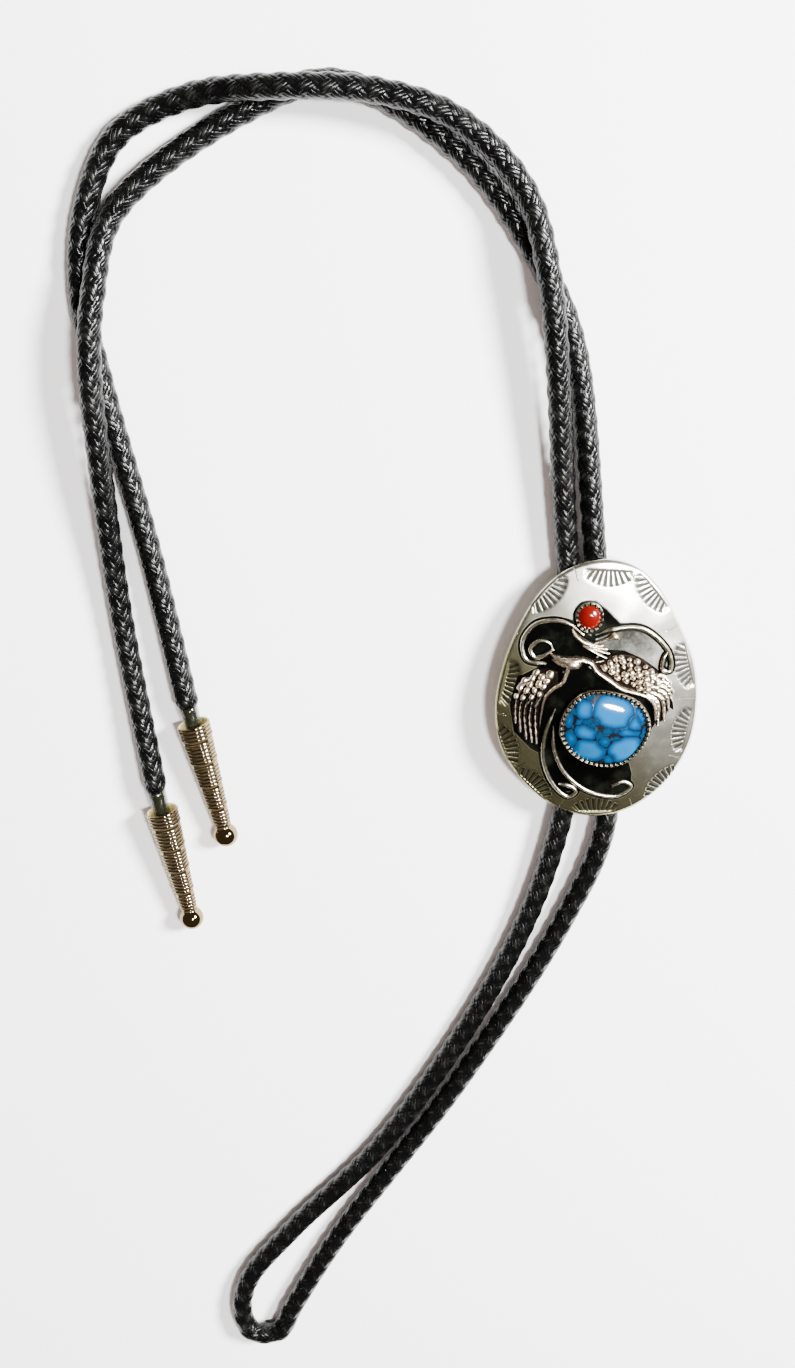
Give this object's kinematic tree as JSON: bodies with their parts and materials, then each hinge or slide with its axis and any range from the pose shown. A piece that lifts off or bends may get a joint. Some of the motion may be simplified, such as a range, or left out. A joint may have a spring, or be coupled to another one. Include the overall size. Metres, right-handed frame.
{
  "type": "bolo tie",
  "caption": "Bolo tie: domed silver slide with a turquoise and a coral stone and eagle relief, on a braided black cord with ridged metal tips.",
  "frame": {"origin": "middle of the slide's box, on the surface that the tie lies on", "axes": "+X across the slide, +Y towards the slide's narrow end where the cords leave for the neck, +Z out of the slide's face"},
  "size_m": [0.1296, 0.299, 0.0122],
  "materials": {
    "slide_silver": "hand-stamped silver, darkened in its recesses and worn bright on high places",
    "turquoise": "polished, bright blue with black matrix",
    "coral": "polished red",
    "clip_steel": "plain sheet metal",
    "cord_leather": "braided, black, slightly glossy",
    "clear_sleeve": "clear plastic with a grey-green tint",
    "tip_metal": "bright plated metal"
  },
  "bodies": {
    "root": {"slide_plate": "slide_silver", "turquoise_stone": "turquoise", "coral_stone": "coral", "cord_clip": "clip_steel", "cord": "cord_leather", "cord_sleeve_1": "clear_sleeve", "cord_sleeve_2": "clear_sleeve", "cord_tip_1": "tip_metal", "cord_tip_2": "tip_metal"}
  },
  "joints": []
}
